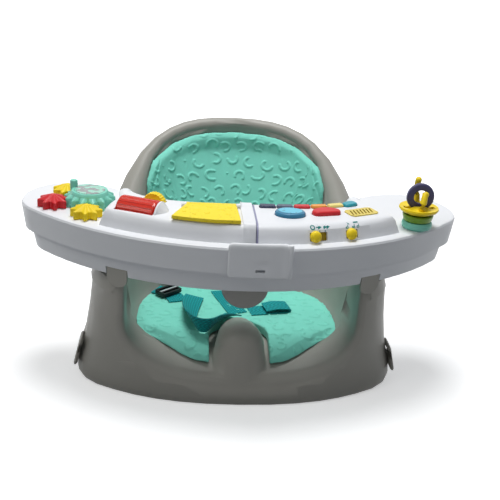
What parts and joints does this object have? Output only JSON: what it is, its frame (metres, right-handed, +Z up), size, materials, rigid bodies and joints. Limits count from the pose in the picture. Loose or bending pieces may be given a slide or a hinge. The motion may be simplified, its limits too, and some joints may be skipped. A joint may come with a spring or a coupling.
{
  "type": "baby floor seat",
  "caption": "Moulded floor seat for a baby with foam pads, a lap harness and a clip-on tray that carries two lift-off toy pods with gears, a roller, keys and a spinner.",
  "frame": {"origin": "on the floor, under the middle of the bounding box", "axes": "+Z up, -Y towards the front of the seat where the legs come out, +X to the right seen from the front"},
  "size_m": [0.525, 0.383, 0.2682],
  "materials": {
    "shell_plastic": "satin",
    "rubber_foot": "matte",
    "foam": "matte",
    "webbing": "matte",
    "black_plastic": "satin",
    "white_plastic": "satin",
    "grey_plastic": "satin",
    "mint_plastic": "satin",
    "disc_print": "satin",
    "red_plastic": "gloss",
    "yellow_plastic": "satin",
    "clear_red": "gloss",
    "pin_steel": "satin",
    "mirror_film": "polished",
    "navy_plastic": "gloss",
    "slate_plastic": "gloss",
    "orange_plastic": "gloss",
    "pale_yellow_plastic": "gloss",
    "blue_plastic": "gloss",
    "teal_plastic": "gloss",
    "gold_plastic": "satin",
    "speaker_cone": "matte",
    "board_green": "satin",
    "green_plastic": "satin",
    "purple_plastic": "satin"
  },
  "bodies": {
    "seat": {"seat_shell": "shell_plastic", "foot_front_left": "rubber_foot", "foot_front_right": "rubber_foot", "foot_back_left": "rubber_foot", "foot_back_right": "rubber_foot", "seat_pad": "foam", "back_pad": "foam", "crotch_strap": "webbing", "waist_strap_left": "webbing", "waist_strap_right": "webbing", "strap_end": "webbing", "buckle_body": "black_plastic", "buckle_tongue": "black_plastic", "strap_adjuster": "black_plastic"},
    "tray": {"tray": "white_plastic", "tray_tab": "grey_plastic"},
    "release_tab_left": {"release_tab_left": "grey_plastic"},
    "release_tab_right": {"release_tab_right": "grey_plastic"},
    "pod_left": {"pod_left": "white_plastic", "pod_left_cover": "white_plastic", "gear_posts": "white_plastic", "roller_axle": "pin_steel", "wheel_axle": "pin_steel", "flap_pin": "pin_steel", "flap_mirror": "mirror_film"},
    "gear_large": {"gear_large": "mint_plastic", "gear_disc": "disc_print"},
    "gear_red": {"gear_red": "red_plastic"},
    "gear_yellow_back": {"gear_yellow_back": "yellow_plastic"},
    "gear_yellow_front": {"gear_yellow_front": "yellow_plastic"},
    "roller": {"roller_drum": "clear_red", "roller_beads": "yellow_plastic"},
    "ridged_wheel": {"ridged_wheel": "yellow_plastic"},
    "flap": {"flap": "yellow_plastic"},
    "pod_right": {"pod_right": "white_plastic", "pod_right_cover": "white_plastic", "clip_pin": "pin_steel", "speaker": "speaker_cone", "speaker_grille": "gold_plastic", "circuit_board": "board_green", "battery_door": "white_plastic", "spinner_post": "white_plastic", "spinner_base": "mint_plastic"},
    "front_clip": {"front_clip": "white_plastic"},
    "key_navy": {"key_navy": "navy_plastic"},
    "key_slate": {"key_slate": "slate_plastic"},
    "key_red": {"key_red": "red_plastic"},
    "key_orange": {"key_orange": "orange_plastic"},
    "key_yellow": {"key_yellow": "pale_yellow_plastic"},
    "button_blue": {"button_blue": "blue_plastic"},
    "button_red": {"button_red": "red_plastic"},
    "button_teal": {"button_teal": "teal_plastic"},
    "switch_volume": {"switch_volume": "yellow_plastic"},
    "switch_mode": {"switch_mode": "yellow_plastic"},
    "spinner_green": {"spinner_green": "green_plastic"},
    "spinner_saucer": {"spinner_saucer": "yellow_plastic"},
    "spinner_hoop": {"spinner_hoop": "purple_plastic"}
  },
  "joints": [
    {"name": "tray_lift", "type": "slide", "parent": "seat", "child": "tray", "axis": [0, 0, 1], "range_m": [0, 0.1]},
    {"name": "release_tab_left_press", "type": "slide", "parent": "tray", "child": "release_tab_left", "axis": [0.4695, 0.8829, 0], "range_m": [0, 0.0012], "stiffness_N_per_m": 300, "springref_m": -0.002},
    {"name": "release_tab_right_press", "type": "slide", "parent": "tray", "child": "release_tab_right", "axis": [-0.4695, 0.8829, 0], "range_m": [0, 0.0012], "stiffness_N_per_m": 300, "springref_m": -0.002},
    {"name": "pod_left_lift", "type": "slide", "parent": "tray", "child": "pod_left", "axis": [0, 0, 1], "range_m": [0, 0.06]},
    {"name": "pod_right_lift", "type": "slide", "parent": "tray", "child": "pod_right", "axis": [0, 0, 1], "range_m": [0, 0.06]},
    {"name": "gear_large_spin", "type": "hinge", "parent": "pod_left", "child": "gear_large", "pos_m": [-0.181, -0.062, 0.21], "axis": [0, 0, 1], "continuous": true},
    {"name": "gear_red_spin", "type": "hinge", "parent": "pod_left", "child": "gear_red", "pos_m": [-0.22187, -0.07174, 0.21], "axis": [0, 0, 1], "continuous": true},
    {"name": "gear_yellow_back_spin", "type": "hinge", "parent": "pod_left", "child": "gear_yellow_back", "pos_m": [-0.20987, -0.03147, 0.21], "axis": [0, 0, 1], "continuous": true},
    {"name": "gear_yellow_front_spin", "type": "hinge", "parent": "pod_left", "child": "gear_yellow_front", "pos_m": [-0.181, -0.10402, 0.21], "axis": [0, 0, 1], "continuous": true},
    {"name": "roller_spin", "type": "hinge", "parent": "pod_left", "child": "roller", "pos_m": [-0.121, -0.12, 0.222], "axis": [0.9191, -0.3941, 0], "continuous": true},
    {"name": "ridged_wheel_spin", "type": "hinge", "parent": "pod_left", "child": "ridged_wheel", "pos_m": [-0.105, -0.096, 0.2255], "axis": [-0.3941, -0.9191, 0], "continuous": true},
    {"name": "flap_open", "type": "hinge", "parent": "pod_left", "child": "flap", "pos_m": [-0.041, -0.111, 0.2305], "axis": [-1, 0, 0], "range_deg": [0, 100]},
    {"name": "front_clip_open", "type": "hinge", "parent": "pod_right", "child": "front_clip", "pos_m": [0.04242, -0.1881, 0.178], "axis": [0, 0, 1], "range_deg": [0, 75]},
    {"name": "key_navy_press", "type": "slide", "parent": "pod_right", "child": "key_navy", "axis": [0, 0, -1], "range_m": [0, 0.0015], "stiffness_N_per_m": 150, "springref_m": -0.002},
    {"name": "key_slate_press", "type": "slide", "parent": "pod_right", "child": "key_slate", "axis": [0, 0, -1], "range_m": [0, 0.0015], "stiffness_N_per_m": 150, "springref_m": -0.002},
    {"name": "key_red_press", "type": "slide", "parent": "pod_right", "child": "key_red", "axis": [0, 0, -1], "range_m": [0, 0.0015], "stiffness_N_per_m": 150, "springref_m": -0.002},
    {"name": "key_orange_press", "type": "slide", "parent": "pod_right", "child": "key_orange", "axis": [0, 0, -1], "range_m": [0, 0.0015], "stiffness_N_per_m": 150, "springref_m": -0.002},
    {"name": "key_yellow_press", "type": "slide", "parent": "pod_right", "child": "key_yellow", "axis": [0, 0, -1], "range_m": [0, 0.0015], "stiffness_N_per_m": 150, "springref_m": -0.002},
    {"name": "button_blue_press", "type": "slide", "parent": "pod_right", "child": "button_blue", "axis": [0, 0, -1], "range_m": [0, 0.0015], "stiffness_N_per_m": 300, "springref_m": -0.002},
    {"name": "button_red_press", "type": "slide", "parent": "pod_right", "child": "button_red", "axis": [0, 0, -1], "range_m": [0, 0.0015], "stiffness_N_per_m": 300, "springref_m": -0.002},
    {"name": "button_teal_press", "type": "slide", "parent": "pod_right", "child": "button_teal", "axis": [0, 0, -1], "range_m": [0, 0.0015], "stiffness_N_per_m": 300, "springref_m": -0.002},
    {"name": "switch_volume_slide", "type": "slide", "parent": "pod_right", "child": "switch_volume", "axis": [0.9749, 0.2228, 0], "range_m": [0, 0.0085]},
    {"name": "switch_mode_slide", "type": "slide", "parent": "pod_right", "child": "switch_mode", "axis": [0.9358, 0.3525, 0], "range_m": [0, 0.005]},
    {"name": "spinner_green_spin", "type": "hinge", "parent": "pod_right", "child": "spinner_green", "pos_m": [0.2, -0.103, 0.21], "axis": [0, 0, 1], "continuous": true},
    {"name": "spinner_saucer_spin", "type": "hinge", "parent": "pod_right", "child": "spinner_saucer", "pos_m": [0.2, -0.103, 0.21], "axis": [0, 0, 1], "continuous": true},
    {"name": "spinner_hoop_spin", "type": "hinge", "parent": "spinner_saucer", "child": "spinner_hoop", "pos_m": [0.2, -0.103, 0.2476], "axis": [0, 1, 0], "continuous": true}
  ],
  "couplings": [
    {"joint": "gear_red_spin", "follows": "gear_large_spin", "ratio": -1.75},
    {"joint": "gear_yellow_back_spin", "follows": "gear_large_spin", "ratio": -1.75},
    {"joint": "gear_yellow_front_spin", "follows": "gear_large_spin", "ratio": -1.75}
  ]
}
